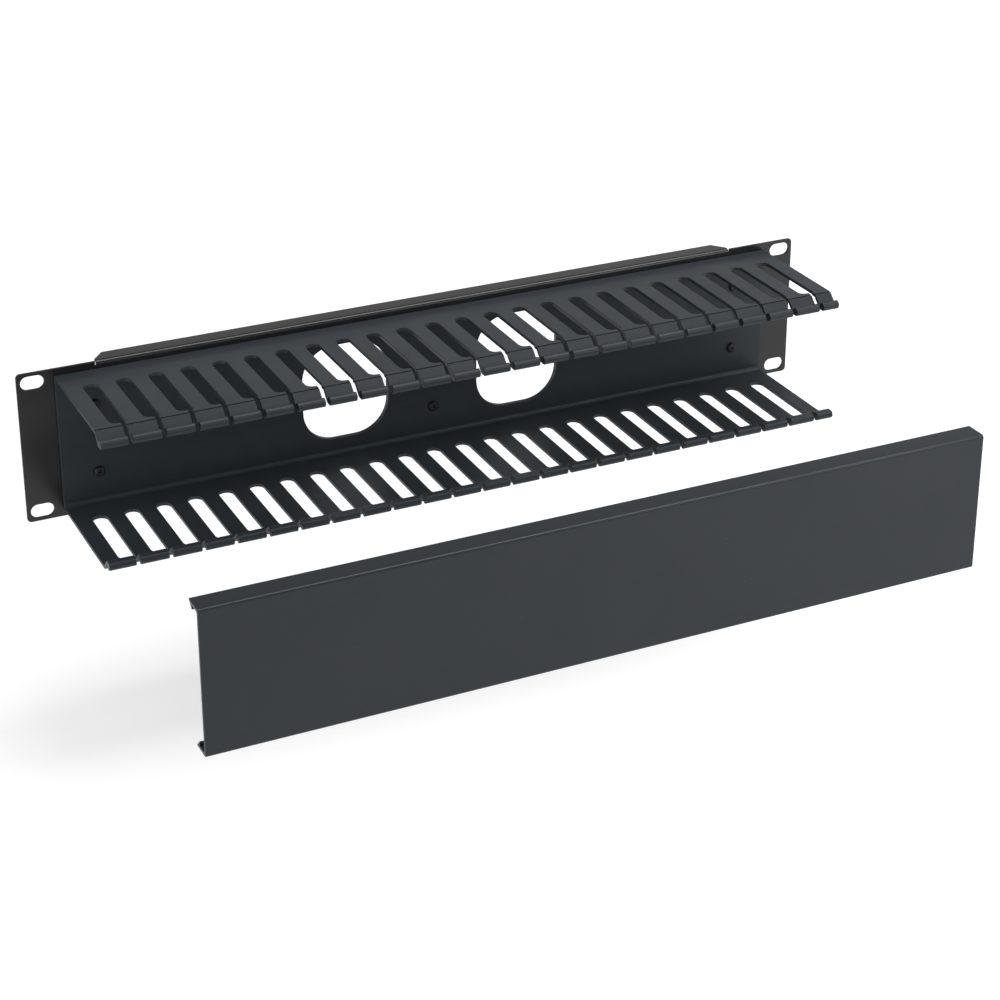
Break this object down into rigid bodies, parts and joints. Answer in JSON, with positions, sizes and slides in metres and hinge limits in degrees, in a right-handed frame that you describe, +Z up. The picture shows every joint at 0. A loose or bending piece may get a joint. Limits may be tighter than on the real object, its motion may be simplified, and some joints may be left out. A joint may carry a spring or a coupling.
{
  "type": "horizontal cable manager",
  "caption": "Rack panel with a slotted finger duct across its front, two rounded pass-through holes and a press-on cover held off in front.",
  "frame": {"origin": "centre of the four rack slots, on the panel's back face", "axes": "+X along the rack's width, +Z up, +Y into the rack, so the duct reaches out along -Y"},
  "size_m": [0.4826, 0.2383, 0.1127],
  "materials": {
    "panel_steel": "satin black powder coat",
    "duct_plastic": "matte extruded plastic",
    "cover_plastic": "matte extruded plastic",
    "fastener_steel": "black oxide"
  },
  "bodies": {
    "manager": {"rack_panel": "panel_steel", "finger_duct": "duct_plastic", "screw_1": "fastener_steel", "screw_2": "fastener_steel", "screw_3": "fastener_steel", "screw_4": "fastener_steel", "screw_5": "fastener_steel", "screw_6": "fastener_steel", "nut_1": "fastener_steel", "nut_2": "fastener_steel", "nut_3": "fastener_steel", "nut_4": "fastener_steel", "nut_5": "fastener_steel", "nut_6": "fastener_steel"},
    "cover": {"duct_cover": "cover_plastic"}
  },
  "joints": [
    {"name": "cover_press", "type": "slide", "parent": "manager", "child": "cover", "axis": [-0.0143, 0.9789, 0.2036], "range_m": [0, 0.13995]}
  ]
}
